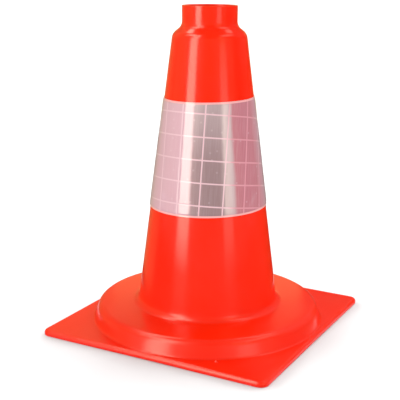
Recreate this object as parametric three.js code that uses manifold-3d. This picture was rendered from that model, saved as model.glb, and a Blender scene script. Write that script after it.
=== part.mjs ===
// A small traffic cone: one hollow moulding with a square foot, and a reflective sleeve slipped over it.
//
// Units are millimetres and +Z is up. The origin is the centre of the foot's underside, and the cone's
// axis is Z. The foot's sides are square to X and Y. The sleeve's sheet is centred on -Y, so that its
// seam is on the far side, at +Y.

import * as THREE from 'three';
import { mergeVertices } from 'three/addons/utils/BufferGeometryUtils.js';
import Module from 'manifold-3d';

// Cone: heights are above the ground, and radii are outside radii.
const coneHeight = 300;
const wallThickness = 2.6;
const neckRadius = 25.2;
const neckLength = 18;
const neckFillet = 2.5;
const shoulderHeight = 7;
const shoulderRound = 8;
const bodyTopRadius = 33.9;
const bodyFootRadius = 66.8;
const bodyFootFillet = 4;

// Round step between the body and the square flange.
const stepHeight = 21.4;
const stepSlope = THREE.MathUtils.degToRad(1.9);
const stepEdgeRound = 8;
const stepWallLean = THREE.MathUtils.degToRad(19.3);
const stepFootFillet = 3;
const stepToFlangeSide = 4.6;

// Square flange that the cone stands on.
const flangeWidth = 229;
const flangeThickness = 5;
const flangeCornerRadius = 8;
const flangeEdgeRound = 3;

// Mark that the moulding gate left on the flange: a low pip.
const gateRadius = 1.2;
const gateHeight = 0.8;
const gateFromStep = 0.4;
const gateAngle = THREE.MathUtils.degToRad(-58);

// Sleeve: two films welded together, wrapped from one flat sheet and joined in a lap seam.
const sleeveBelowShoulder = 57.1;
const sleeveHeight = 101.35;
const sleeveClearance = 0.15;
const backingThickness = 0.25;
const filmGap = 0.1;
const faceThickness = 0.4;
const weldThickness = 0.2;
const edgeWeldWidth = 2;
const edgeWeldRamp = 0.5;
const sleeveTiltRise = 0.9;
const sleeveHighSide = THREE.MathUtils.degToRad(28);
const seamWidth = 9;

// Fineness: facets round the axis, and facets in a quarter turn of a fillet.
const facetsRound = 96;
const facetsPerQuarter = 5;
const cornerFacets = 6;

// How far one solid runs into another, or a cut runs past a face, so that each join is a clean crossing.
const joinDepth = 0.05;
const cutPast = 5;

const wasm = await Module();
wasm.setup();

// Points along a fillet of the given radius at corner b, between the lines from a and to c.
function filletPoints(a, b, c, radius) {
  const before = a.clone().sub(b);
  const after = c.clone().sub(b);
  const turn = Math.PI - before.angleTo(after);
  const reach = Math.min(radius * Math.tan(turn / 2), 0.5 * before.length(), 0.5 * after.length());
  const usedRadius = reach / Math.tan(turn / 2);
  const start = b.clone().add(before.clone().setLength(reach));
  const end = b.clone().add(after.clone().setLength(reach));
  const middle = start.clone().add(end).multiplyScalar(0.5);
  const outward = b.clone().sub(middle).normalize();
  const centre = b.clone().sub(outward.clone().multiplyScalar(usedRadius / Math.cos(turn / 2)));
  const steps = Math.max(2, Math.ceil((turn / (Math.PI / 2)) * facetsPerQuarter));
  const side = -Math.sign(before.cross(after));
  const points = [];
  for (let i = 0; i <= steps; i += 1) {
    points.push(start.clone().rotateAround(centre, side * turn * (i / steps)));
  }
  return points;
}

// An open profile with its inner corners rounded. Each corner is { point, round }.
function roundedProfile(corners) {
  const points = [corners[0].point];
  for (let i = 1; i < corners.length - 1; i += 1) {
    const [before, corner, after] = [corners[i - 1], corners[i], corners[i + 1]];
    if (corner.round > 0) {
      points.push(...filletPoints(before.point, corner.point, after.point, corner.round));
    } else {
      points.push(corner.point);
    }
  }
  points.push(corners[corners.length - 1].point);
  return points;
}

// The same profile moved inwards by a distance, with each fillet's radius following its new side.
// The profile runs upwards, so its inside is on its left.
function insetProfile(corners, distance) {
  const inwardNormal = (from, to) => {
    const along = to.clone().sub(from).normalize();
    return new THREE.Vector2(-along.y, along.x);
  };
  const normals = corners.slice(1).map((corner, i) => inwardNormal(corners[i].point, corner.point));
  return corners.map((corner, i) => {
    const before = normals[Math.max(i - 1, 0)];
    const after = normals[Math.min(i, normals.length - 1)];
    const middle = before.clone().add(after).normalize();
    const point = corner.point.clone().add(middle.multiplyScalar(distance / middle.dot(before)));
    const growth = before.cross(after) > 0 ? -distance : distance;
    const round = corner.round > 0 ? Math.max(corner.round + growth, 0) : 0;
    return { point, round };
  });
}

// Turns a profile round Z. The profile's points are (radius, height) from the bottom up.
function turned(points) {
  const geometry = new THREE.LatheGeometry(points, facetsRound);
  geometry.rotateX(Math.PI / 2);
  return joined(geometry);
}

// A geometry from flat lists of coordinates and of triangle corners.
function indexed(positions, index) {
  const geometry = new THREE.BufferGeometry();
  geometry.setAttribute('position', new THREE.Float32BufferAttribute(positions, 3));
  geometry.setIndex(index);
  geometry.computeVertexNormals();
  return geometry;
}

// A solid between equal loops of points, stacked from the bottom up, with flat ends.
function stacked(loops) {
  const count = loops[0].length;
  const positions = loops.flat().flatMap((point) => [point.x, point.y, point.z]);
  const index = [];
  for (let level = 0; level < loops.length - 1; level += 1) {
    for (let i = 0; i < count; i += 1) {
      const a = level * count + i;
      const b = level * count + ((i + 1) % count);
      index.push(a, b, b + count, a, b + count, a + count);
    }
  }
  const top = (loops.length - 1) * count;
  for (let i = 1; i < count - 1; i += 1) {
    index.push(0, i + 1, i);
    index.push(top, top + i, top + i + 1);
  }
  return indexed(positions, index);
}

// A solid between closed columns of points that follow one another round the axis.
function closedRing(columns) {
  const rows = columns[0].length;
  const positions = columns.flat().flatMap((point) => [point.x, point.y, point.z]);
  const index = [];
  for (let i = 0; i < columns.length; i += 1) {
    for (let j = 0; j < rows; j += 1) {
      const [here, next] = [i * rows, ((i + 1) % columns.length) * rows];
      const above = (j + 1) % rows;
      index.push(here + j, next + j, next + above, here + j, next + above, here + above);
    }
  }
  return indexed(positions, index);
}

// Merges a geometry's shared points, and drops the triangles that have no area where it meets the axis.
function joined(geometry) {
  geometry.deleteAttribute('normal');
  geometry.deleteAttribute('uv');
  const merged = mergeVertices(geometry);
  const source = merged.index.array;
  const kept = [];
  for (let i = 0; i < source.length; i += 3) {
    const [a, b, c] = [source[i], source[i + 1], source[i + 2]];
    if (a !== b && b !== c && c !== a) {
      kept.push(a, b, c);
    }
  }
  merged.setIndex(kept);
  return merged;
}

// A solid that can be joined to others and cut, from a closed geometry.
function solidOf(geometry) {
  const mesh = new wasm.Mesh({
    numProp: 3,
    vertProperties: new Float32Array(geometry.attributes.position.array),
    triVerts: new Uint32Array(geometry.index.array),
  });
  return new wasm.Manifold(mesh);
}

// The geometry of a joined and cut solid.
function geometryOf(solid) {
  const mesh = solid.getMesh();
  const geometry = new THREE.BufferGeometry();
  geometry.setAttribute('position', new THREE.BufferAttribute(mesh.vertProperties, 3));
  geometry.setIndex(new THREE.BufferAttribute(mesh.triVerts, 1));
  geometry.computeVertexNormals();
  return geometry;
}

// Heights and radii that follow from the driving sizes.
const neckFoot = coneHeight - neckLength;
const bodyTop = neckFoot - shoulderHeight;
const stepFootRadius = flangeWidth / 2 - stepToFlangeSide;
const stepFootLevel = flangeThickness - joinDepth;

// Where the step's sloping top meets its leaning wall.
const stepRun = (stepFootRadius - bodyFootRadius - (stepHeight - flangeThickness) * Math.tan(stepWallLean))
  / (1 - Math.tan(stepSlope) * Math.tan(stepWallLean));
const stepEdge = new THREE.Vector2(
  bodyFootRadius + stepRun,
  stepHeight - stepRun * Math.tan(stepSlope),
);

// Outside radius of the tapered body at a height.
const bodySlope = (bodyFootRadius - bodyTopRadius) / (bodyTop - stepHeight);
const bodyTaper = Math.atan(bodySlope);
const bodyRadiusAt = (z) => bodyFootRadius - (z - stepHeight) * bodySlope;

// The outside of the moulding above the step's foot, from the step's edge up to the rim.
const outsideCorners = [
  { point: stepEdge, round: stepEdgeRound },
  { point: new THREE.Vector2(bodyFootRadius, stepHeight), round: bodyFootFillet },
  { point: new THREE.Vector2(bodyTopRadius, bodyTop), round: shoulderRound },
  { point: new THREE.Vector2(neckRadius, neckFoot), round: neckFillet },
  { point: new THREE.Vector2(neckRadius, coneHeight), round: 0 },
];

function coneOutside() {
  const reach = stepFootRadius + stepFootFillet;
  const corners = [
    { point: new THREE.Vector2(reach, stepFootLevel), round: 0 },
    { point: new THREE.Vector2(stepFootRadius, stepFootLevel), round: stepFootFillet },
    ...outsideCorners,
  ];
  return turned([
    new THREE.Vector2(0, flangeThickness / 2),
    new THREE.Vector2(reach, flangeThickness / 2),
    ...roundedProfile(corners),
    new THREE.Vector2(0, coneHeight),
  ]);
}

// The hollow follows the outside at one wall's thickness. It is cut past the ground and past the rim.
function coneHollow() {
  const wallFootRadius = stepFootRadius + (stepFootLevel + cutPast) * Math.tan(stepWallLean);
  const corners = [
    { point: new THREE.Vector2(wallFootRadius, -cutPast), round: 0 },
    ...outsideCorners.slice(0, -1),
    { point: new THREE.Vector2(neckRadius, coneHeight + cutPast), round: 0 },
  ];
  const profile = roundedProfile(insetProfile(corners, wallThickness));
  return turned([
    new THREE.Vector2(0, profile[0].y),
    ...profile,
    new THREE.Vector2(0, profile[profile.length - 1].y),
  ]);
}

// One loop of the flange's outline at a height, drawn in from its sides by an inset.
function flangeLoop(inset, z) {
  const centre = flangeWidth / 2 - flangeCornerRadius;
  const radius = flangeCornerRadius - inset;
  const loop = [];
  for (const [sideX, sideY, quarter] of [[1, 1, 0], [-1, 1, 1], [-1, -1, 2], [1, -1, 3]]) {
    for (let i = 0; i <= cornerFacets; i += 1) {
      const angle = (Math.PI / 2) * (quarter + i / cornerFacets);
      const x = sideX * centre + radius * Math.cos(angle);
      const y = sideY * centre + radius * Math.sin(angle);
      loop.push(new THREE.Vector3(x, y, z));
    }
  }
  return loop;
}

// The flange stands on its flat underside, and its upper edge is rounded.
function flange() {
  const edgeRound = Math.min(flangeEdgeRound, 0.8 * flangeThickness, 0.8 * flangeCornerRadius);
  const steps = Math.ceil(facetsPerQuarter / 2);
  const loops = [flangeLoop(0, 0)];
  for (let i = 0; i <= steps; i += 1) {
    const angle = (i / steps) * (Math.PI / 2);
    const inset = edgeRound * (1 - Math.cos(angle));
    loops.push(flangeLoop(inset, flangeThickness - edgeRound * (1 - Math.sin(angle))));
  }
  return stacked(loops);
}

function gateMark() {
  const fromAxis = stepFootRadius + stepFootFillet + gateFromStep;
  const dome = new THREE.SphereGeometry(gateRadius, 12, 8);
  dome.scale(1, 1, gateHeight / gateRadius);
  dome.translate(
    fromAxis * Math.cos(gateAngle),
    fromAxis * Math.sin(gateAngle),
    flangeThickness - joinDepth,
  );
  return joined(dome);
}

function coneShell() {
  const filled = solidOf(coneOutside()).add(solidOf(flange())).add(solidOf(gateMark()));
  return geometryOf(filled.subtract(solidOf(coneHollow())));
}

// The sleeve's height on the cone, and its films' offsets, measured square out from the cone's surface.
const sleeveTop = bodyTop - sleeveBelowShoulder;
const sleeveFoot = sleeveTop - sleeveHeight;
const backingOutside = sleeveClearance + backingThickness;
const faceInside = backingOutside + filmGap;
const seamStep = backingThickness + faceThickness;
const seamAngle = Math.PI / 2;
const seamHalfAngle = seamWidth / 2 / bodyRadiusAt(sleeveTop);

// How far the sleeve stands above its level place at an angle round the axis, because it sits tilted.
const tiltRise = (angle) => sleeveTiltRise * Math.cos(angle - sleeveHighSide);

// A film round the body. Each point of its section has its height above the sleeve's foot, its offset
// from the cone, and whether it is on the outside, which steps up over the lap seam.
function wrappedFilm(section) {
  const columns = [];
  for (let i = 0; i < facetsRound; i += 1) {
    const angle = (i / facetsRound) * 2 * Math.PI - Math.PI / 2;
    const overSeam = Math.abs(angle - seamAngle) < seamHalfAngle;
    columns.push(section.map(({ height, offset, outside }) => {
      const z = sleeveFoot + height + tiltRise(angle);
      const outwards = offset + (outside && overSeam ? seamStep : 0);
      const radius = bodyRadiusAt(z) + outwards / Math.cos(bodyTaper);
      return new THREE.Vector3(radius * Math.cos(angle), radius * Math.sin(angle), z);
    }));
  }
  return closedRing(columns);
}

function sleeveBacking() {
  return wrappedFilm([
    { height: 0, offset: sleeveClearance },
    { height: 0, offset: backingOutside },
    { height: sleeveHeight, offset: backingOutside },
    { height: sleeveHeight, offset: sleeveClearance },
  ]);
}

// The face film is pressed thinner along both edges, where it is welded down.
function sleeveFace() {
  const welded = faceInside + weldThickness;
  const full = faceInside + faceThickness;
  const rampEnd = edgeWeldWidth + edgeWeldRamp;
  return wrappedFilm([
    { height: 0, offset: faceInside },
    { height: 0, offset: welded, outside: true },
    { height: edgeWeldWidth, offset: welded, outside: true },
    { height: rampEnd, offset: full, outside: true },
    { height: sleeveHeight - rampEnd, offset: full, outside: true },
    { height: sleeveHeight - edgeWeldWidth, offset: welded, outside: true },
    { height: sleeveHeight, offset: welded, outside: true },
    { height: sleeveHeight, offset: faceInside },
  ]);
}

const conePlastic = new THREE.MeshStandardMaterial({ color: 0xff3a14, roughness: 0.36, metalness: 0 });
const backingFilm = new THREE.MeshStandardMaterial({ color: 0xf2eeee, roughness: 0.5, metalness: 0 });
const prismFilm = new THREE.MeshStandardMaterial({ color: 0xdccace, roughness: 0.3, metalness: 0.4 });

function piece(name, geometry, material) {
  const mesh = new THREE.Mesh(geometry, material);
  mesh.name = name;
  return mesh;
}

const cone = new THREE.Group();
cone.add(piece('cone_shell', coneShell(), conePlastic));

const sleeve = new THREE.Group();
sleeve.add(piece('sleeve_backing', sleeveBacking(), backingFilm));
sleeve.add(piece('sleeve_face', sleeveFace(), prismFilm));

const trafficCone = new THREE.Group();
trafficCone.add(cone, sleeve);

export default trafficCone;
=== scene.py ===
"""Looks of a small traffic cone: a hollow red-orange moulding with a reflective film sleeve.

Lengths are metres in the CAD model's frame: the origin is the centre of the square foot's
underside, the axis is Z, and the sleeve's seam is at +Y. Angles named azimuth are measured
round Z from +X.
"""

import math

import bpy
import numpy as np
from mathutils import Matrix, Vector

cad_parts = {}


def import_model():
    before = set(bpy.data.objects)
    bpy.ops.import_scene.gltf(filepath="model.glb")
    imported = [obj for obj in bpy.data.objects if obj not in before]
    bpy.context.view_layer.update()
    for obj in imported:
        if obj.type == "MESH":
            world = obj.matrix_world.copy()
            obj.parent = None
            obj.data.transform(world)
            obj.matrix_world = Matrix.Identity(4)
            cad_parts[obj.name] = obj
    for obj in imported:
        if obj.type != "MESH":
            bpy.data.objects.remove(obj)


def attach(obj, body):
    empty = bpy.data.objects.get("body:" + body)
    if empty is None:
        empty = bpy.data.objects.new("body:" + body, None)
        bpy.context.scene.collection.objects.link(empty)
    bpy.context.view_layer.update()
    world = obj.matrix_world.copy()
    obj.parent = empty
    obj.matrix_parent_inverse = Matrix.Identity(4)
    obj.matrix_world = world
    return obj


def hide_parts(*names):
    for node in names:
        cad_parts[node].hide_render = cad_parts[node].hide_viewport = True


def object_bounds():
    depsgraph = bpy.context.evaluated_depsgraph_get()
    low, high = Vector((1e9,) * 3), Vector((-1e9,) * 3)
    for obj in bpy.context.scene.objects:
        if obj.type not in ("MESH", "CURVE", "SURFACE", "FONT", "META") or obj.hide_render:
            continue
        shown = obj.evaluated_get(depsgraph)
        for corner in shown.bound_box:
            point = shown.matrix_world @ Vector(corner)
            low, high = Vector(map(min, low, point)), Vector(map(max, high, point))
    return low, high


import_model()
cad_low, cad_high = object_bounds()

TAU = 2 * math.pi
MM = 0.001

# Cone. Radii are outside radii, and heights are above the ground.
CONE_HEIGHT = cad_high.z
WALL = 2.6 * MM
NECK_RADIUS = 25.2 * MM
NECK_LENGTH = 18 * MM
NECK_FILLET = 8 * MM
SHOULDER_HEIGHT = 7 * MM
SHOULDER_ROUND = 9.5 * MM
BODY_TOP_RADIUS = 33.9 * MM
BODY_FOOT_RADIUS = 66.8 * MM
BODY_FOOT_FILLET = 6.5 * MM
RIM_ROUND = 0.6 * MM
UNEVENNESS = 0.028 * MM
UNEVENNESS_RAMP = 10 * MM

# Round step between the body and the flange.
STEP_HEIGHT = 21.4 * MM
STEP_SLOPE = math.radians(1.9)
STEP_EDGE_ROUND = 8 * MM
STEP_WALL_LEAN = math.radians(19.3)
STEP_FOOT_FILLET = 3 * MM
STEP_TO_FLANGE_SIDE = 4.6 * MM

# Square flange.
FLANGE_HALF = cad_high.x
FLANGE_THICKNESS = 5 * MM
FLANGE_CORNER_RADIUS = 8 * MM
FLANGE_EDGE_ROUND = 3 * MM
FLANGE_FOOT_ROUND = 0.4 * MM

# The flange's sides bow up between the corners. The bow starts at a share of the step's foot
# radius, and grows to its full rise over another share.
FLANGE_BOW = 0.4 * MM
FLANGE_BOW_START = 0.9
FLANGE_BOW_RAMP = 0.12

# Gate mark: a low pip on the flange. Its flat middle is a share of its radius.
GATE_RADIUS = 1.5 * MM
GATE_HEIGHT = 1.2 * MM
GATE_FLAT = 0.25
GATE_FROM_AXIS = 113.6 * MM
GATE_AZIMUTH = math.radians(-58.1)

# Sleeve. Offsets are measured square out from the cone's surface.
SLEEVE_CLEARANCE = 0.15 * MM
BACKING_THICKNESS = 0.25 * MM
FILM_GAP = 0.1 * MM
FACE_THICKNESS = 0.4 * MM
EDGE_WELD_THICKNESS = 0.2 * MM
EDGE_WELD_WIDTH = 2.0 * MM
EDGE_WELD_RAMP = 0.5 * MM
SLEEVE_HEIGHT = 101.35 * MM
SLEEVE_BELOW_SHOULDER = 57.1 * MM
SLEEVE_TILT_RISE = 0.9 * MM
SLEEVE_HIGH_SIDE = math.radians(28)
SEAM_AZIMUTH = math.radians(90)
SEAM_HALF_WIDTH = 4.5 * MM
SEAM_RAMP = 3 * MM

# Weld grid on the face film, laid out on the flat sheet that the sleeve was wrapped from.
WELD_PITCH_ROUND = 21.29 * MM
WELD_PITCH_ALONG = 20.43 * MM
WELD_FIRST_ROUND = 18.08 * MM
WELD_FIRST_ALONG = 337.64 * MM
WELD_WIDTH = 1.3 * MM
WELD_DEPTH = 0.06 * MM
GROOVE_FLOOR = 0.3 * WELD_WIDTH
GROOVE_SLOPE = 0.5 * WELD_WIDTH
PILLOW_RISE = 0.08 * MM

# Fineness of the meshes. A reach is how far the finer columns go to each side, and the back
# rows are shares of the sleeve's height.
ARC_STEP = math.radians(9)
OUTSIDE_SPACING = 4 * MM
INSIDE_SPACING = 6 * MM
SHELL_COLUMNS = 288
CORNER_COLUMNS = 19
CORNER_REACH = math.radians(3.6)
GATE_COLUMNS = 15
GATE_REACH = 1.4 * GATE_RADIUS
LEAST_TURN = math.radians(0.12)
EDGE_RINGS = 10
BACKING_COLUMNS = 288
BACKING_ROWS = 24
FACE_COLUMNS = 520
FACE_ROWS = 168
FACE_BACK_ROWS = (1.0, 0.66, 0.33, 0.0)
AFTER_LAP_EDGE = math.radians(0.05)
BEFORE_LAP_EDGE = math.radians(0.12)
SHARP_ANGLE = math.radians(40)

# Rings on the flange's flat, as shares of the way from the step's foot to the rounded edge. They
# are close together beside the step, where the gate mark stands.
FLAT_RINGS = [0.016 * i for i in range(1, 10)] + [0.2, 0.27, 0.35, 0.44, 0.54, 0.65, 0.77, 0.9]

# In the middle of the flange's sides the step's foot runs into the rounded edge. There the flat
# keeps this width, and the edge's rings keep these distances from the step's foot.
FLAT_LEAST = 0.3 * MM
EDGE_RING_FIRST = 0.32 * MM
EDGE_RING_GAP = 0.06 * MM

# Camera. It stands at the photograph's place, with the photograph's 400 pixels across its sensor.
CAMERA_PLACE = Vector((0.38579, -0.72679, 0.33284))
CAMERA_HEADING = math.radians(118.51)
CAMERA_PITCH = math.radians(-14.573)
CAMERA_ROLL = math.radians(0.349)
CAMERA_LENS_MM = 80.6
CAMERA_SENSOR_MM = 36
CAMERA_NEAREST = 0.01
CAMERA_FARTHEST = 100


def fillet(before, corner, after, radius):
    """Points along an arc of that radius, which rounds the corner between two straight lines."""
    back = before - corner
    ahead = after - corner
    back_length = np.linalg.norm(back)
    ahead_length = np.linalg.norm(ahead)
    cosine = np.dot(back, ahead) / (back_length * ahead_length)
    turn = math.pi - math.acos(max(-1.0, min(1.0, cosine)))
    reach = min(radius * math.tan(turn / 2), 0.5 * back_length, 0.5 * ahead_length)
    radius = reach / math.tan(turn / 2)
    start = corner + back / back_length * reach
    end = corner + ahead / ahead_length * reach
    outward = corner - (start + end) / 2
    outward = outward / np.linalg.norm(outward)
    centre = corner - outward * radius / math.cos(turn / 2)
    count = max(3, math.ceil(turn / ARC_STEP))
    spoke = start - centre
    last = end - centre
    side = math.copysign(1, spoke[0] * last[1] - spoke[1] * last[0])
    points = []
    for i in range(count + 1):
        angle = side * turn * i / count
        cos = math.cos(angle)
        sin = math.sin(angle)
        turned = (spoke[0] * cos - spoke[1] * sin, spoke[0] * sin + spoke[1] * cos)
        points.append(centre + np.array(turned))
    return points


def rounded(corners):
    """A line through corners, each ((radius, height), round), with the inner ones rounded."""
    places = [np.array(place, float) for place, _ in corners]
    points = [places[0]]
    for i in range(1, len(corners) - 1):
        if corners[i][1] > 0:
            points += fillet(places[i - 1], places[i], places[i + 1], corners[i][1])
        else:
            points.append(places[i])
    points.append(places[-1])
    return points


def inset(corners, distance):
    """The same corners moved inwards, each fillet's radius following its new side."""
    places = [np.array(place, float) for place, _ in corners]
    normals = []
    for start, end in zip(places, places[1:]):
        along = (end - start) / np.linalg.norm(end - start)
        normals.append(np.array([-along[1], along[0]]))
    moved = []
    for i, (place, (_, radius)) in enumerate(zip(places, corners)):
        before = normals[max(i - 1, 0)]
        after = normals[min(i, len(normals) - 1)]
        middle = (before + after) / np.linalg.norm(before + after)
        growth = -distance if before[0] * after[1] - before[1] * after[0] > 0 else distance
        new_round = max(radius + growth, 0) if radius > 0 else 0
        moved.append((place + middle * distance / np.dot(middle, before), new_round))
    return moved


def subdivided(points, longest):
    """The line with extra points, so that no two neighbours are further apart than longest."""
    dense = [points[0]]
    for start, end in zip(points, points[1:]):
        count = max(1, math.ceil(np.linalg.norm(end - start) / longest))
        dense += [start + (end - start) * i / count for i in range(1, count + 1)]
    return dense


def smoothstep(x):
    """0 up to 0, 1 from 1 on, and a smooth rise between."""
    x = np.clip(x, 0, 1)
    return x * x * (3 - 2 * x)


# Places that follow from the sizes above.
neck_foot = CONE_HEIGHT - NECK_LENGTH
body_top = neck_foot - SHOULDER_HEIGHT
step_foot_radius = FLANGE_HALF - STEP_TO_FLANGE_SIDE
step_reach = step_foot_radius + STEP_FOOT_FILLET
step_lean = math.tan(STEP_WALL_LEAN)
step_fall = math.tan(STEP_SLOPE)
step_run = (
    (step_foot_radius - BODY_FOOT_RADIUS - (STEP_HEIGHT - FLANGE_THICKNESS) * step_lean)
    / (1 - step_fall * step_lean)
)
step_edge = (BODY_FOOT_RADIUS + step_run, STEP_HEIGHT - step_run * step_fall)
body_slope = (BODY_FOOT_RADIUS - BODY_TOP_RADIUS) / (body_top - STEP_HEIGHT)
body_taper = math.atan(body_slope)
outside_corners = [
    (step_edge, STEP_EDGE_ROUND),
    ((BODY_FOOT_RADIUS, STEP_HEIGHT), BODY_FOOT_FILLET),
    ((BODY_TOP_RADIUS, body_top), SHOULDER_ROUND),
    ((NECK_RADIUS, neck_foot), NECK_FILLET),
]


def body_radius(z):
    """Outside radius of the body's taper at a height."""
    return BODY_FOOT_RADIUS - (z - STEP_HEIGHT) * body_slope


def outside_profile():
    """The moulding's outside as (radius, height), from the foot of the step up to the rim."""
    corners = [
        ((step_reach, FLANGE_THICKNESS), 0),
        ((step_foot_radius, FLANGE_THICKNESS), STEP_FOOT_FILLET),
        *outside_corners,
        ((NECK_RADIUS, CONE_HEIGHT), RIM_ROUND),
        ((NECK_RADIUS - WALL / 2, CONE_HEIGHT), 0),
    ]
    return subdivided(rounded(corners), OUTSIDE_SPACING)


def inside_profile():
    """The hollow's surface as (radius, height), from the ground up to the rim."""
    corners = [
        ((step_foot_radius + FLANGE_THICKNESS * step_lean, 0), 0),
        *outside_corners,
        ((NECK_RADIUS, CONE_HEIGHT), 0),
    ]
    line = inset(corners, WALL)
    foot = line[0][0][0]
    line[0] = ((foot + FLANGE_FOOT_ROUND, 0), 0)
    line.insert(1, ((foot, 0), FLANGE_FOOT_ROUND))
    line[-1] = ((NECK_RADIUS - WALL, CONE_HEIGHT), RIM_ROUND)
    line.append(((NECK_RADIUS - WALL / 2, CONE_HEIGHT), 0))
    return subdivided(rounded(line), INSIDE_SPACING)


def shell_azimuths():
    """Azimuths round the shell, closer together at the flange's corners and the gate mark."""
    plain = np.arange(SHELL_COLUMNS) * TAU / SHELL_COLUMNS
    beside = np.linspace(-CORNER_REACH, CORNER_REACH, CORNER_COLUMNS)
    corners = np.concatenate([math.radians(45 + 90 * i) + beside for i in range(4)])
    half_gate = GATE_REACH / GATE_FROM_AXIS
    gate = np.linspace(GATE_AZIMUTH - half_gate, GATE_AZIMUTH + half_gate, GATE_COLUMNS)
    angles = np.sort(np.concatenate([plain, corners, gate]) % TAU)
    kept = [angles[0]]
    for angle in angles[1:]:
        if angle - kept[-1] > LEAST_TURN:
            kept.append(angle)
    return np.array(kept)


def from_side(azimuth):
    """Turn away from the middle of the flange's nearest side, from 0 to an eighth of a turn."""
    return np.abs((azimuth + math.pi / 4) % (math.pi / 2) - math.pi / 4)


def square_radius(azimuth, drawn_in):
    """Distance from the axis to the flange's outline, drawn in from its sides."""
    half = FLANGE_HALF - drawn_in
    corner = FLANGE_CORNER_RADIUS - drawn_in
    turn = from_side(azimuth)
    straight = half / np.cos(turn)
    centre = half - corner
    along = centre * (np.cos(turn) + np.sin(turn))
    across = centre * (np.cos(turn) - np.sin(turn))
    arc = along + np.sqrt(np.maximum(corner**2 - across**2, 0))
    return np.where(straight * np.sin(turn) <= centre, straight, arc)


def inside_flange(x, y):
    """How far a point is inside the flange's outline."""
    centre = FLANGE_HALF - FLANGE_CORNER_RADIUS
    over_x = np.abs(x) - centre
    over_y = np.abs(y) - centre
    outside = np.hypot(np.maximum(over_x, 0), np.maximum(over_y, 0))
    inside = np.minimum(np.maximum(over_x, over_y), 0)
    return FLANGE_CORNER_RADIUS - outside - inside


def flange_top(radius, azimuth):
    """Height of the flange's upper surface, with its rounded edge and the gate mark."""
    x = radius * np.cos(azimuth)
    y = radius * np.sin(azimuth)
    short = np.clip(FLANGE_EDGE_ROUND - inside_flange(x, y), 0, FLANGE_EDGE_ROUND)
    height = FLANGE_THICKNESS - FLANGE_EDGE_ROUND + np.sqrt(FLANGE_EDGE_ROUND**2 - short**2)
    from_gate = np.hypot(
        x - GATE_FROM_AXIS * math.cos(GATE_AZIMUTH),
        y - GATE_FROM_AXIS * math.sin(GATE_AZIMUTH),
    )
    return height + GATE_HEIGHT * smoothstep(1 + GATE_FLAT - from_gate / GATE_RADIUS)


def flange_lift(radius, azimuth):
    """How far the flange stands off the ground: its sides bow up a little between the corners."""
    beyond_step = smoothstep((radius / step_foot_radius - FLANGE_BOW_START) / FLANGE_BOW_RAMP)
    return FLANGE_BOW * beyond_step * np.cos(2 * from_side(azimuth)) ** 2


def step_fillet_height():
    """The step's foot as two lists, radius and height above the flange, for looking up."""
    corners = [
        ((step_reach, FLANGE_THICKNESS), 0),
        ((step_foot_radius, FLANGE_THICKNESS), STEP_FOOT_FILLET),
        (step_edge, 0),
    ]
    points = np.array(rounded(corners))
    order = np.argsort(points[:, 0])
    return points[order, 0], points[order, 1] - FLANGE_THICKNESS


def waviness(azimuth, z):
    """Slight unevenness of the moulded wall, as a change of radius.

    It is a sum of waves, each with a whole number of crests round the cone.
    """
    up = z / CONE_HEIGHT
    slow = np.sin(3 * azimuth + 9 * up) + 0.6 * np.sin(5 * azimuth - 14 * up + 1.1)
    fine = 0.35 * np.sin(11 * azimuth + 31 * up) * np.sin(23 * up + 0.4)
    on_body = smoothstep((z - STEP_HEIGHT) / UNEVENNESS_RAMP)
    return UNEVENNESS * on_body * (slow + fine)


def ring_mesh(name, columns, maps=None):
    """A closed skin over columns of points, an array of (column, point in column, xyz).

    Maps are its UV maps, each a name and an array of (column, point in column, uv).
    """
    count, rows = columns.shape[:2]
    here = np.arange(count)[:, None] * rows
    beyond = (np.arange(count)[:, None] + 1) % count * rows
    row = np.arange(rows)[None, :]
    above = (row + 1) % rows
    faces = np.stack([here + row, beyond + row, beyond + above, here + above], -1).reshape(-1, 4)
    mesh = bpy.data.meshes.new(name)
    mesh.vertices.add(count * rows)
    mesh.vertices.foreach_set("co", columns.astype(np.float32).ravel())
    mesh.loops.add(faces.size)
    mesh.loops.foreach_set("vertex_index", faces.astype(np.int32).ravel())
    mesh.polygons.add(len(faces))
    mesh.polygons.foreach_set("loop_start", np.arange(0, faces.size, 4, dtype=np.int32))
    for map_name, uv in (maps or {}).items():
        layer = mesh.uv_layers.new(name=map_name)
        corners = uv.reshape(-1, 2)[faces.ravel()]
        layer.data.foreach_set("uv", corners.astype(np.float32).ravel())
    mesh.update(calc_edges=True)
    mesh.validate()
    mesh.polygons.foreach_set("use_smooth", np.ones(len(mesh.polygons), bool))
    mesh.set_sharp_from_angle(angle=SHARP_ANGLE)
    piece = bpy.data.objects.new(name, mesh)
    bpy.context.scene.collection.objects.link(piece)
    return piece


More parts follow.
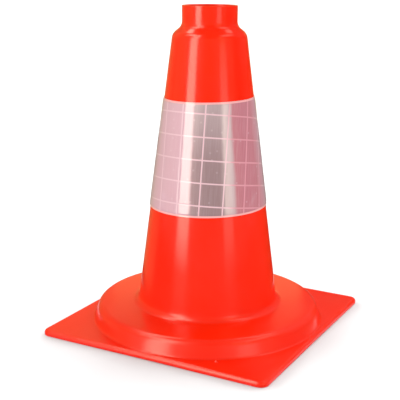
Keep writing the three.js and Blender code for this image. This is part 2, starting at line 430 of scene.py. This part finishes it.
def cone_shell():
    """The whole moulding as one skin: up the hollow, down the outside and round the flange."""
    azimuth = shell_azimuths()
    fillet_radii, fillet_heights = step_fillet_height()
    hollow = inside_profile()
    rings = []

    def add_ring(radius, z):
        radius = np.broadcast_to(radius, azimuth.shape)
        z = np.broadcast_to(z, azimuth.shape)
        lifted = z + flange_lift(radius, azimuth)
        moved = radius + waviness(azimuth, z)
        rings.append(np.stack([moved * np.cos(azimuth), moved * np.sin(azimuth), lifted], -1))

    def add_flange_ring(radius):
        foot = np.interp(radius, fillet_radii, fillet_heights, right=0)
        add_ring(radius, flange_top(radius, azimuth) + foot)

    for radius, z in hollow:
        add_ring(radius, z)
    for radius, z in reversed(outside_profile()[:-1]):
        if radius < step_foot_radius - STEP_FOOT_FILLET:
            add_ring(radius, z)
        else:
            add_flange_ring(radius)
    flat = np.maximum(square_radius(azimuth, FLANGE_EDGE_ROUND) - step_reach, FLAT_LEAST)
    for share in FLAT_RINGS:
        add_flange_ring(step_reach + share * flat)
    for i in range(EDGE_RINGS + 1):
        drawn_in = FLANGE_EDGE_ROUND * (1 - math.sin(math.pi / 2 * i / EDGE_RINGS))
        least = step_reach + EDGE_RING_FIRST + EDGE_RING_GAP * i
        add_flange_ring(np.maximum(square_radius(azimuth, drawn_in), least))
    side_high = FLANGE_THICKNESS - FLANGE_EDGE_ROUND
    for share in (0.5, 1.0):
        add_ring(square_radius(azimuth, 0), side_high + (FLANGE_FOOT_ROUND - side_high) * share)
    for angle in (math.pi / 4, math.pi / 2):
        drawn_in = FLANGE_FOOT_ROUND * (1 - math.cos(angle))
        add_ring(square_radius(azimuth, drawn_in), FLANGE_FOOT_ROUND * (1 - math.sin(angle)))
    outer = square_radius(azimuth, FLANGE_FOOT_ROUND)
    for share in (0.25, 0.5, 0.75):
        add_ring(outer + (hollow[0][0] - outer) * share, 0)
    return ring_mesh("cone_moulding", np.stack(rings, 1))


# Heights of the sleeve on the body, and its offsets.
sleeve_top = body_top - SLEEVE_BELOW_SHOULDER
sleeve_foot = sleeve_top - SLEEVE_HEIGHT
backing_outside = SLEEVE_CLEARANCE + BACKING_THICKNESS
face_inside = backing_outside + FILM_GAP
face_outside = face_inside + FACE_THICKNESS
lap_rise = BACKING_THICKNESS + FACE_THICKNESS
seam_radius = body_radius(sleeve_foot + SLEEVE_HEIGHT / 2)
seam_half_angle = SEAM_HALF_WIDTH / seam_radius
body_apex = STEP_HEIGHT + BODY_FOOT_RADIUS / body_slope
sheet_apex = body_apex + face_outside / math.sin(body_taper)


def sleeve_azimuths(count):
    """Azimuths round the sleeve from just past the lap's free edge, once round, to that edge."""
    edge = SEAM_AZIMUTH + seam_half_angle
    turns = np.linspace(edge - TAU + AFTER_LAP_EDGE, edge - BEFORE_LAP_EDGE, count)
    return np.append(turns, edge)[:, None]


def lap_height(azimuth):
    """Rise of the outer layer over the inner one, from 0 to 1, before the lap's free edge."""
    ahead = (SEAM_AZIMUTH - seam_half_angle - azimuth) * seam_radius
    return smoothstep(1 - ahead / SEAM_RAMP)


def film_height(azimuth, height):
    """Height above the ground of a point at a height above the tilted sleeve's foot."""
    return sleeve_foot + height + SLEEVE_TILT_RISE * np.cos(azimuth - SLEEVE_HIGH_SIDE)


def film_point(azimuth, height, offset):
    """A point of a film at a height above the sleeve's foot and an offset out from the cone."""
    z = film_height(azimuth, height)
    radius = body_radius(z) + offset / math.cos(body_taper)
    return np.stack([radius * np.cos(azimuth), radius * np.sin(azimuth), z], -1)


def sheet_place(azimuth, height):
    """Place of a point on the flat sheet: across it, and along it from the cone's apex."""
    slant = (sheet_apex - film_height(azimuth, height)) / math.cos(body_taper)
    turn = (azimuth + math.pi / 2) * math.sin(body_taper)
    return slant * np.sin(turn), slant * np.cos(turn)


def sleeve_backing():
    """The inner film: a plain band."""
    heights = np.linspace(0, SLEEVE_HEIGHT, BACKING_ROWS)
    up_and_down = np.concatenate([heights, heights[::-1]])[None, :]
    offset = np.repeat([[backing_outside, SLEEVE_CLEARANCE]], BACKING_ROWS, 1)
    points = film_point(sleeve_azimuths(BACKING_COLUMNS), up_and_down, offset)
    return ring_mesh("backing_film_sheet", points)


def sleeve_face():
    """The face film: weld grid pressed in, the cells between slightly domed, a lap at the back."""
    azimuth = sleeve_azimuths(FACE_COLUMNS)
    heights = np.linspace(0, SLEEVE_HEIGHT, FACE_ROWS)[None, :]
    across, along = sheet_place(azimuth, heights)
    round_place = (across - WELD_FIRST_ROUND) / WELD_PITCH_ROUND
    along_place = (along - WELD_FIRST_ALONG) / WELD_PITCH_ALONG
    from_round = np.abs(round_place - np.round(round_place)) * WELD_PITCH_ROUND
    from_along = np.abs(along_place - np.round(along_place)) * WELD_PITCH_ALONG
    from_weld = np.minimum(from_round, from_along)
    groove = WELD_DEPTH * (1 - smoothstep((from_weld - GROOVE_FLOOR) / GROOVE_SLOPE))
    round_bulge = np.sin(np.pi * np.mod(round_place, 1))
    along_bulge = np.sin(np.pi * np.mod(along_place, 1))
    dome = PILLOW_RISE * round_bulge * along_bulge
    from_edge = np.minimum(heights, SLEEVE_HEIGHT - heights)
    full = smoothstep((from_edge - EDGE_WELD_WIDTH) / EDGE_WELD_RAMP)
    thickness = EDGE_WELD_THICKNESS + (FACE_THICKNESS - EDGE_WELD_THICKNESS) * full
    surface = face_inside + thickness + full * (dome - groove) + lap_rise * lap_height(azimuth)
    back_heights = SLEEVE_HEIGHT * np.array([FACE_BACK_ROWS])
    back_from_edge = np.minimum(back_heights, SLEEVE_HEIGHT - back_heights)
    points = np.concatenate(
        [film_point(azimuth, heights, surface), film_point(azimuth, back_heights, face_inside)], 1
    )
    front_sheet = np.stack([across, along], -1)
    back_sheet = np.stack(sheet_place(azimuth, back_heights), -1)
    sheet = np.concatenate([front_sheet, back_sheet], 1)
    edge = np.concatenate([from_edge, back_from_edge], 1)[:, :, None]
    maps = {"sheet": sheet, "edge": np.broadcast_to(edge, sheet.shape)}
    return ring_mesh("face_film_sheet", points, maps)


class Nodes:
    """Short calls for building the node tree of a new material or world."""

    def __init__(self, owner):
        self.owner = owner
        owner.use_nodes = True
        self.tree = owner.node_tree
        self.tree.nodes.clear()

    def add(self, kind, settings=None, **inputs):
        """A new node. An input's keyword is its name, with _ for each space."""
        node = self.tree.nodes.new(kind)
        for key, value in (settings or {}).items():
            setattr(node, key, value)
        for key, value in inputs.items():
            self.put(node, key.replace("_", " "), value)
        return node

    def put(self, node, key, value):
        """Links a socket, or a plain value, to the input of that name or number."""
        socket = node.inputs[key]
        if isinstance(value, bpy.types.NodeSocket):
            self.tree.links.new(value, socket)
        else:
            socket.default_value = value

    def math(self, operation, first, second=0.0, third=0.0):
        """The result of an operation on up to three numbers."""
        node = self.add("ShaderNodeMath", {"operation": operation})
        for i, value in enumerate((first, second, third)):
            self.put(node, i, value)
        return node.outputs[0]

    def ramp(self, value, from_low, from_high, to_low=0.0, to_high=1.0, kind="SMOOTHSTEP"):
        """The value moved from one range to another, and kept inside it."""
        node = self.add("ShaderNodeMapRange", {"interpolation_type": kind})
        for i, number in enumerate((value, from_low, from_high, to_low, to_high)):
            self.put(node, i, number)
        return node.outputs[0]

    def mix(self, share, first, second):
        """Colour from first to second. Its inputs of type colour have the numbers 6 and 7."""
        node = self.add("ShaderNodeMix", {"data_type": "RGBA"})
        for i, value in ((0, share), (6, first), (7, second)):
            self.put(node, i, value)
        return node.outputs[2]

    def bands(self, value, stops):
        """Colour that runs from stop to stop, each a place from 0 to 1 and a colour."""
        node = self.add("ShaderNodeValToRGB", Fac=value)
        elements = node.color_ramp.elements
        elements.remove(elements[-1])
        elements[0].position, elements[0].color = stops[0]
        for place, colour in stops[1:]:
            elements.new(place).color = colour
        return node.outputs["Color"]

    def noise(self, vector, scale, detail, roughness):
        """Soft noise from 0 to 1."""
        node = self.add(
            "ShaderNodeTexNoise", Vector=vector, Scale=scale, Detail=detail, Roughness=roughness
        )
        return node.outputs["Fac"]

    def finish(self, shader):
        """Puts a shader on the output, and gives back the material or world."""
        in_world = isinstance(self.owner, bpy.types.World)
        kind = "ShaderNodeOutputWorld" if in_world else "ShaderNodeOutputMaterial"
        self.add(kind, Surface=shader)
        return self.owner


# Materials. Colours are linear red, green, blue and alpha. A noise is its scale, detail and
# roughness, where scales are per metre, and a range is the values of a noise that count as 0 and 1.
PLASTIC_IOR = 1.5

# Cone plastic: two close reds, a gloss in patches, duller at the step, and a fine skin.
CONE_RED = (1.0, 0.0140, 0.0004, 1)
CONE_ORANGE = (1.0, 0.0180, 0.0008, 1)
FLOW_NOISE = (9.0, 3.0, 0.55)
FLOW_RANGE = (0.35, 0.65)
CONE_ROUGHNESS = (0.15, 0.19)
SATIN_NOISE = (38.0, 4.0, 0.6)
SATIN_RANGE = (0.3, 0.7)
DULL_ROUGHNESS = 0.06
DULL_UP_TO = 0.7 * STEP_HEIGHT
GLOSSY_FROM = 1.8 * STEP_HEIGHT
SKIN_NOISE = (220.0, 1.0, 0.5)
SKIN_DEPTH = 0.05 * MM
SKIN_STRENGTH = 0.1
CONE_SPECULAR = 0.5

# Backing film: white, a little cloudy, with a soft gloss.
BACKING_PINK = (0.86, 0.70, 0.72, 1)
BACKING_WHITE = (0.92, 0.80, 0.82, 1)
BACKING_NOISE = (60.0, 3.0, 0.5)
BACKING_RANGE = (0.2, 0.8)
BACKING_ROUGHNESS = (0.38, 0.5)

# Face film.
# Film colours: the film's own pale pink painted as brightly lit, a painted dark reflection, a
# painted highlight and painted shade.
FILM_PAINTED_LIT = (0.70, 0.405, 0.465, 1)
FILM_PAINTED_REFLECTION = (0.375, 0.24, 0.262, 1)
FILM_PAINTED_HIGHLIGHT = (0.63, 0.455, 0.46, 1)
FILM_PAINTED_SHADE = (0.57, 0.195, 0.235, 1)
# Pale streak colour, which also paints the grey band's reflection lighter towards the top.
FILM_STREAK_AND_PAINTED_LIGHT = (0.85, 0.70, 0.73, 1)
# Weld colours: the welds' own pale pink, and a redder one painted as shade in the red band.
WELD_PALE = (0.82, 0.54, 0.59, 1)
WELD_IN_PAINTED_SHADE = (0.76, 0.33, 0.38, 1)
EDGE_WELD_COLOUR = (0.96, 0.46, 0.45, 1)
FILM_SPECULAR = 0.2
FILM_METALLIC = 0.2
FILM_ROUGHNESS = 0.4
WELD_ROUGHNESS = 0.45
COAT_ROUGHNESS = 0.06
COAT_IOR = 1.6
PRISM_SCALE = 1400.0
PRISM_DEPTH = 0.08 * MM
PRISM_STRENGTH = 0.08

# The film's colours run twice round the cone, from this azimuth on. Each band has a place in the
# half turn, from 0 to 1, and a colour. The film's own colour is a pale pink, and the bands paint
# light on it: pale where it is painted as brightly lit with a sheen, grey where a dark reflection
# is painted on the part that faces the camera, lighter under the right lamp as a painted highlight,
# and red as painted shade. A band's limits waver by a share of the half turn.
FILM_START = math.radians(-152)
FILM_BANDS = (
    (0.0, FILM_PAINTED_LIT),
    (0.385, FILM_PAINTED_LIT),
    (0.41, FILM_PAINTED_REFLECTION),
    (0.58, FILM_PAINTED_REFLECTION),
    (0.597, FILM_PAINTED_HIGHLIGHT),
    (0.64, FILM_PAINTED_HIGHLIGHT),
    (0.66, FILM_PAINTED_SHADE),
    (0.82, FILM_PAINTED_SHADE),
    (0.94, FILM_PAINTED_LIT),
)
WAVER = 0.03
WAVER_NOISE = (30.0, 3.0, 0.6)

# Middles of the parts of the half turn that count as painted reflection and as painted shade, and
# the distances from them between which they fade out. The painted reflection's part also takes the
# metallic gloss.
REFLECTION_MIDDLE = 0.505
REFLECTION_LIMITS = (0.09, 0.12)
SHADE_MIDDLE = 0.755
SHADE_LIMITS = (0.09, 0.16)

# The painted reflection in the grey band gets lighter towards the top: the share of the sleeve's
# height at which that starts, and how far it goes.
PALER_FROM = 0.4
PALER_SHARE = 0.3

# Distances from a grid weld's middle line, and from the film's edge, between which the weld's
# colour fades.
WELD_FADE = (0.38 * WELD_WIDTH, 0.62 * WELD_WIDTH)
EDGE_FADE = (0.7 * EDGE_WELD_WIDTH, EDGE_WELD_WIDTH)

# Marks on the film: upright streaks, and bubbles in some cells of a cell pattern. A bubble fades
# out between two distances from its cell's middle, and a cell's own number says if it has one.
STREAK_STRETCH = (1.0, 0.05, 1.0)
STREAK_NOISE = (900.0, 2.0, 0.5)
STREAK_RANGE = (0.3, 0.8)
STREAK_SHARE = 0.1
BUBBLE_CELLS = 110.0
BUBBLE_SIZE = (0.05, 0.16)
BUBBLE_SHARE = 0.22
BUBBLE_CHOICE = (0.5, 0.6)


def cone_plastic():
    """Glossy red-orange plastic: flow marks in its colour, patches in its gloss, a fine skin."""
    nodes = Nodes(bpy.data.materials.new("cone_plastic"))
    place = nodes.add("ShaderNodeTexCoord").outputs["Object"]
    flow = nodes.ramp(nodes.noise(place, *FLOW_NOISE), *FLOW_RANGE)
    satin = nodes.ramp(nodes.noise(place, *SATIN_NOISE), *SATIN_RANGE, *CONE_ROUGHNESS)
    height = nodes.add("ShaderNodeSeparateXYZ", Vector=place).outputs["Z"]
    duller = nodes.ramp(height, DULL_UP_TO, GLOSSY_FROM, DULL_ROUGHNESS, 0.0)
    skin = nodes.noise(place, *SKIN_NOISE)
    bump = nodes.add("ShaderNodeBump", Strength=SKIN_STRENGTH, Distance=SKIN_DEPTH, Height=skin)
    shader = nodes.add(
        "ShaderNodeBsdfPrincipled",
        Base_Color=nodes.mix(flow, CONE_RED, CONE_ORANGE),
        Roughness=nodes.math("ADD", satin, duller),
        IOR=PLASTIC_IOR,
        Specular_IOR_Level=CONE_SPECULAR,
        Normal=bump.outputs["Normal"],
    )
    return nodes.finish(shader.outputs["BSDF"])


def backing_film():
    """Plain white film, a little cloudy, with a soft gloss."""
    nodes = Nodes(bpy.data.materials.new("backing_film"))
    place = nodes.add("ShaderNodeTexCoord").outputs["Object"]
    cloud = nodes.noise(place, *BACKING_NOISE)
    shader = nodes.add(
        "ShaderNodeBsdfPrincipled",
        Base_Color=nodes.mix(cloud, BACKING_PINK, BACKING_WHITE),
        Roughness=nodes.ramp(cloud, *BACKING_RANGE, *BACKING_ROUGHNESS),
    )
    return nodes.finish(shader.outputs["BSDF"])


def welds(nodes, sheet):
    """Share of grid weld and share of edge weld at a point of the film."""
    split = nodes.add("ShaderNodeSeparateXYZ", Vector=sheet)
    from_first_round = nodes.math("SUBTRACT", split.outputs["X"], WELD_FIRST_ROUND)
    from_first_along = nodes.math("SUBTRACT", split.outputs["Y"], WELD_FIRST_ALONG)
    from_round = nodes.math("PINGPONG", from_first_round, WELD_PITCH_ROUND / 2)
    from_along = nodes.math("PINGPONG", from_first_along, WELD_PITCH_ALONG / 2)
    grid = nodes.ramp(nodes.math("MINIMUM", from_round, from_along), *WELD_FADE, 1.0, 0.0)
    edge_map = nodes.add("ShaderNodeUVMap", {"uv_map": "edge"}).outputs["UV"]
    from_edge = nodes.add("ShaderNodeSeparateXYZ", Vector=edge_map).outputs["X"]
    return grid, nodes.ramp(from_edge, *EDGE_FADE, 1.0, 0.0)


def film_marks(nodes, sheet):
    """Share of pale mark at a point of the film: fine upright streaks and a few bubbles."""
    stretched = nodes.add("ShaderNodeMapping", Vector=sheet, Scale=STREAK_STRETCH)
    noise = nodes.noise(stretched.outputs["Vector"], *STREAK_NOISE)
    streaks = nodes.ramp(noise, *STREAK_RANGE, 0.0, STREAK_SHARE)
    cells = nodes.add(
        "ShaderNodeTexVoronoi", {"voronoi_dimensions": "2D"}, Vector=sheet, Scale=BUBBLE_CELLS
    )
    bubbles = nodes.ramp(cells.outputs["Distance"], *BUBBLE_SIZE, BUBBLE_SHARE, 0.0)
    chosen = nodes.ramp(cells.outputs["Color"], *BUBBLE_CHOICE)
    return nodes.math("MAXIMUM", streaks, nodes.math("MULTIPLY", bubbles, chosen))


def prism_film():
    """Clear film over rows of tiny prisms, with pale welds in a grid and along both edges. Its
    colour bands round the cone are painted reflection, painted highlight and painted shade.
    """
    nodes = Nodes(bpy.data.materials.new("prism_film"))
    sheet = nodes.add("ShaderNodeUVMap", {"uv_map": "sheet"}).outputs["UV"]
    grid, edge = welds(nodes, sheet)
    place = nodes.add("ShaderNodeTexCoord").outputs["Object"]
    split = nodes.add("ShaderNodeSeparateXYZ", Vector=place)
    azimuth = nodes.math("ARCTAN2", split.outputs["Y"], split.outputs["X"])
    shift = -WAVER / 2 - FILM_START / math.pi
    waver = nodes.math("MULTIPLY_ADD", nodes.noise(place, *WAVER_NOISE), WAVER, shift)
    half_turn = nodes.math("FRACT", nodes.math("MULTIPLY_ADD", azimuth, 1 / math.pi, waver))
    # How far each point lies from the middles of the painted reflection and the painted shade. The
    # painted reflection's share also sets the metallic gloss.
    from_painted_reflection = nodes.math("ABSOLUTE", nodes.math("SUBTRACT", half_turn, REFLECTION_MIDDLE))
    from_painted_shade = nodes.math("ABSOLUTE", nodes.math("SUBTRACT", half_turn, SHADE_MIDDLE))
    silver_painted_reflection = nodes.ramp(from_painted_reflection, *REFLECTION_LIMITS, 1.0, 0.0)
    painted_shade_share = nodes.ramp(from_painted_shade, *SHADE_LIMITS, 1.0, 0.0)
    # The painted reflection gets lighter towards the top of the sleeve.
    paler_foot = sleeve_foot + PALER_FROM * SLEEVE_HEIGHT
    paler = nodes.ramp(split.outputs["Z"], paler_foot, sleeve_top, 0.0, PALER_SHARE)
    bands = nodes.bands(half_turn, FILM_BANDS)
    film = nodes.mix(nodes.math("MULTIPLY", silver_painted_reflection, paler), bands, FILM_STREAK_AND_PAINTED_LIGHT)
    film = nodes.mix(film_marks(nodes, sheet), film, FILM_STREAK_AND_PAINTED_LIGHT)
    # In the band of painted shade the welds are painted redder too.
    film = nodes.mix(grid, film, nodes.mix(painted_shade_share, WELD_PALE, WELD_IN_PAINTED_SHADE))
    welded = nodes.math("MAXIMUM", grid, edge)
    prisms = nodes.add("ShaderNodeTexVoronoi", Vector=sheet, Scale=PRISM_SCALE).outputs["Distance"]
    bump = nodes.add("ShaderNodeBump", Strength=PRISM_STRENGTH, Distance=PRISM_DEPTH, Height=prisms)
    shader = nodes.add(
        "ShaderNodeBsdfPrincipled",
        Base_Color=nodes.mix(edge, film, EDGE_WELD_COLOUR),
        Metallic=nodes.math("MULTIPLY", silver_painted_reflection, nodes.ramp(welded, 0.0, 1.0, FILM_METALLIC, 0.0)),
        Roughness=nodes.ramp(welded, 0.0, 1.0, FILM_ROUGHNESS, WELD_ROUGHNESS),
        IOR=PLASTIC_IOR,
        Specular_IOR_Level=FILM_SPECULAR,
        Coat_Weight=1.0,
        Coat_Roughness=COAT_ROUGHNESS,
        Coat_IOR=COAT_IOR,
        Normal=bump.outputs["Normal"],
    )
    return nodes.finish(shader.outputs["BSDF"])


def dress(piece, body, node, material):
    """Gives a new piece its material, and sets it in the place of a CAD node."""
    piece.data.materials.append(material)
    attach(piece, body)
    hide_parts(node)


# Studio. Levels are brightness, where 1 is white, and turns are from the camera's side. The floor
# is brighter to the camera than to the object, and the sky glows from low behind.
FLOOR_SIZE = 40.0
FLOOR_SHADE = 0.45
FLOOR_WHITE = 0.535
SKY_LEVEL = 0.56
SKY_GLOW = 2.6
SKY_GLOW_TURN = math.radians(150)
SKY_GLOW_HEIGHT = math.radians(20)
SKY_GLOW_TIGHTNESS = 3.0

# Lamps: name, turn and height above the horizon in degrees, level, width in degrees and colour.
LAMPS = (
    ("left_lamp", -50, 18, 0.42, 60, (1.0, 0.98, 0.96)),
    ("right_lamp", 45, 14, 0.22, 60, (1.0, 1.0, 1.0)),
)

# Lamps for the floor alone, behind and beside the object. They make its soft shadow in front.
FLOOR_LAMP_TURNS = (105, 135, 165, 195, 225, 255, 285)
FLOOR_LAMP_HEIGHT = math.radians(18)
FLOOR_LAMP_LEVEL = 0.55
FLOOR_LAMP_WIDTH = math.radians(20)

# Cards show only in the object's gloss. Those above the bright level are nearly white, and the
# others are yellow.
BRIGHT_LEVEL = 1.0
BRIGHT_TINT = (1.0, 1.0, 0.80, 1)
DIM_TINT = (1.0, 1.0, 0.40, 1)
CARD_STRIPS = 24
FLAT_CARD_STRIPS = 48

# Flat cards: name, height, inner and outer radius, level.
FLAT_CARDS = (
    ("floor_card", 0.0005, 0.16, 1.25, 0.08),
    ("ceiling_card", 2.4, 0.0, 1.7, 0.10),
)

# Upright cards: name, the turns in degrees between which it stands, distance from the axis,
# foot, top, level and the share that is soft.
UPRIGHT_CARDS = (
    ("left_softbox", -61, -34, 1.2, 0.0, 2.3, 6.3, 0.35),
    ("right_softbox", 26, 50, 1.2, 0.0, 0.42, 1.8, 0.4),
    ("right_softbox_top", 26, 50, 1.2, 0.42, 1.6, 0.8, 0.4),
    ("left_high_card", -100, -45, 1.2, 1.3, 2.4, 5.7, 0.4),
    ("right_high_card", 42, 106, 1.2, 1.3, 2.4, 1.8, 0.4),
    ("left_top_card", -170, -108, 1.2, 1.7, 2.4, 5.7, 0.4),
    ("right_top_card", 112, 168, 1.2, 1.7, 2.4, 1.9, 0.4),
    ("front_curtain_low", -70, 70, 1.5, 0.0, 0.6, 0.24, 0.0),
    ("front_curtain", -70, 70, 1.5, 0.6, 0.9, 0.34, 0.0),
    ("front_curtain_high", -70, 70, 1.5, 0.9, 2.4, 0.05, 0.0),
    ("right_curtain", 70, 140, 1.5, 0.0, 2.4, 0.02, 0.0),
    ("right_back_curtain", 140, 178, 1.5, 0.0, 2.4, 0.05, 0.0),
    ("left_back_curtain", 178, 215, 1.5, 0.0, 2.4, 0.25, 0.0),
    ("low_backdrop", 140, 215, 1.45, 0.0, 0.6, 0.6, 0.6),
    ("left_curtain", 215, 290, 1.5, 0.0, 2.4, 0.5, 0.0),
    ("near_right_flag", 95, 148, 0.22, 0.0, 0.3, 0.06, 0.0),
    ("near_left_flag", 212, 265, 0.22, 0.0, 0.3, 0.32, 0.0),
)

camera_azimuth = math.atan2(CAMERA_PLACE.y, CAMERA_PLACE.x)


def direction(turn, height=0.0):
    """Unit vector towards a turn from the camera's side and a height above the horizon."""
    azimuth = camera_azimuth + turn
    level = math.cos(height)
    return Vector((level * math.cos(azimuth), level * math.sin(azimuth), math.sin(height)))


def floor():
    """White floor. To the camera it is pure white where nothing shades it."""
    mesh = bpy.data.meshes.new("floor")
    half = FLOOR_SIZE / 2
    corners = [(-half, -half, 0), (half, -half, 0), (half, half, 0), (-half, half, 0)]
    mesh.from_pydata(corners, [], [(0, 1, 2, 3)])
    piece = bpy.data.objects.new("floor", mesh)
    bpy.context.scene.collection.objects.link(piece)
    nodes = Nodes(bpy.data.materials.new("floor_white"))
    seen = nodes.add("ShaderNodeLightPath").outputs["Is Camera Ray"]
    shade = nodes.ramp(seen, 0.0, 1.0, FLOOR_SHADE, FLOOR_WHITE, "LINEAR")
    matte = nodes.add("ShaderNodeBsdfDiffuse", Color=shade)
    mesh.materials.append(nodes.finish(matte.outputs["BSDF"]))
    return piece


def world():
    """White to the camera and in reflections.

    It lights the object from all round, most from low behind, as a bright backdrop does.
    """
    nodes = Nodes(bpy.data.worlds.new("studio"))
    path = nodes.add("ShaderNodeLightPath")
    seen = nodes.math("MAXIMUM", path.outputs["Is Camera Ray"], path.outputs["Is Glossy Ray"])
    seen = nodes.math("MAXIMUM", seen, path.outputs["Is Transmission Ray"])
    near_glow = nodes.add("ShaderNodeVectorMath", {"operation": "DOT_PRODUCT"})
    nodes.put(near_glow, 0, nodes.add("ShaderNodeTexCoord").outputs["Generated"])
    nodes.put(near_glow, 1, direction(SKY_GLOW_TURN, SKY_GLOW_HEIGHT))
    ahead = nodes.math("MAXIMUM", near_glow.outputs["Value"], 0.0)
    glow = nodes.math("POWER", ahead, SKY_GLOW_TIGHTNESS)
    light = nodes.math("MULTIPLY_ADD", glow, SKY_GLOW, SKY_LEVEL)
    level = nodes.ramp(seen, 0.0, 1.0, light, 1.0, "LINEAR")
    background = nodes.add("ShaderNodeBackground", Color=(1, 1, 1, 1), Strength=level)
    bpy.context.scene.world = nodes.finish(background.outputs["Background"])


def lamp(name, turn, height, level, width, colour, only=None):
    """A soft lamp far away, which lights and shows no shine.

    Its level is the brightness of a white surface that faces it. Only is the one collection that
    it lights, where it doesn't light everything.
    """
    light = bpy.data.lights.new(name, "SUN")
    light.energy = level * math.pi
    light.angle = width
    light.color = colour
    holder = bpy.data.objects.new(name, light)
    holder.rotation_euler = (-direction(turn, height)).to_track_quat("-Z", "Y").to_euler()
    holder.visible_glossy = False
    holder.light_linking.receiver_collection = only
    bpy.context.scene.collection.objects.link(holder)


def add_card(name, mesh, nodes, level, tint):
    """Makes a mesh glow at a level, and sets it up to show only in the object's gloss."""
    shader = nodes.add("ShaderNodeEmission", Color=tint, Strength=level)
    mesh.materials.append(nodes.finish(shader.outputs["Emission"]))
    piece = bpy.data.objects.new(name, mesh)
    piece.visible_camera = False
    piece.visible_diffuse = False
    piece.visible_shadow = False
    piece.visible_transmission = False
    bpy.context.scene.collection.objects.link(piece)


def upright_card(name, turn_from, turn_to, distance, foot, top, level, soft):
    """A curved card round part of the object.

    Soft is the share of its half width over which it fades towards each upright edge.
    """
    points = []
    for i in range(CARD_STRIPS + 1):
        place = direction(turn_from + (turn_to - turn_from) * i / CARD_STRIPS) * distance
        points += [place + Vector((0, 0, foot)), place + Vector((0, 0, top))]
    faces = [(2 * i, 2 * i + 2, 2 * i + 3, 2 * i + 1) for i in range(CARD_STRIPS)]
    mesh = bpy.data.meshes.new(name)
    mesh.from_pydata(points, [], faces)
    layer = mesh.uv_layers.new(name="card")
    for loop in mesh.loops:
        layer.data[loop.index].uv = (loop.vertex_index // 2 / CARD_STRIPS, loop.vertex_index % 2)
    nodes = Nodes(bpy.data.materials.new(name))
    if soft:
        card_map = nodes.add("ShaderNodeUVMap", {"uv_map": "card"}).outputs["UV"]
        across = nodes.add("ShaderNodeSeparateXYZ", Vector=card_map).outputs["X"]
        shine = nodes.ramp(nodes.math("PINGPONG", across, 0.5), 0.0, 0.5 * soft, 0.0, level)
    else:
        shine = level
    add_card(name, mesh, nodes, shine, BRIGHT_TINT if level > BRIGHT_LEVEL else DIM_TINT)


def flat_card(name, height, inner, outer, level):
    """A flat ring, which keeps the white floor or the white sky out of the object's gloss."""
    points = []
    for i in range(FLAT_CARD_STRIPS):
        spoke = direction(TAU * i / FLAT_CARD_STRIPS)
        points += [spoke * inner + Vector((0, 0, height)), spoke * outer + Vector((0, 0, height))]
    faces = []
    for i in range(FLAT_CARD_STRIPS):
        here = 2 * i
        beyond = (here + 2) % (2 * FLAT_CARD_STRIPS)
        faces.append((here, here + 1, beyond + 1, beyond))
    mesh = bpy.data.meshes.new(name)
    mesh.from_pydata(points, [], faces)
    add_card(name, mesh, Nodes(bpy.data.materials.new(name)), level, DIM_TINT)


def camera():
    """The photograph's view."""
    data = bpy.data.cameras.new("camera")
    data.sensor_width = CAMERA_SENSOR_MM
    data.lens = CAMERA_LENS_MM
    data.clip_start = CAMERA_NEAREST
    data.clip_end = CAMERA_FARTHEST
    place = bpy.data.objects.new("camera", data)
    heading = Matrix.Rotation(CAMERA_HEADING - math.pi / 2, 4, "Z")
    pitch = Matrix.Rotation(math.pi / 2 + CAMERA_PITCH, 4, "X")
    roll = Matrix.Rotation(CAMERA_ROLL, 4, "Z")
    place.matrix_world = Matrix.Translation(CAMERA_PLACE) @ heading @ pitch @ roll
    bpy.context.scene.collection.objects.link(place)
    bpy.context.scene.camera = place


dress(cone_shell(), "cone", "cone_shell", cone_plastic())
dress(sleeve_backing(), "sleeve", "sleeve_backing", backing_film())
dress(sleeve_face(), "sleeve", "sleeve_face", prism_film())

floor_only = bpy.data.collections.new("floor_only")
floor_only.objects.link(floor())
world()
for name, turn, height, level, width, colour in LAMPS:
    lamp(name, math.radians(turn), math.radians(height), level, math.radians(width), colour)
for turn in FLOOR_LAMP_TURNS:
    lamp(
        f"floor_lamp_{turn}",
        math.radians(turn),
        FLOOR_LAMP_HEIGHT,
        FLOOR_LAMP_LEVEL,
        FLOOR_LAMP_WIDTH,
        (1.0, 1.0, 1.0),
        floor_only,
    )
for card in FLAT_CARDS:
    flat_card(*card)
for name, turn_from, turn_to, *rest in UPRIGHT_CARDS:
    upright_card(name, math.radians(turn_from), math.radians(turn_to), *rest)
camera()

bpy.context.scene.view_settings.view_transform = "Standard"
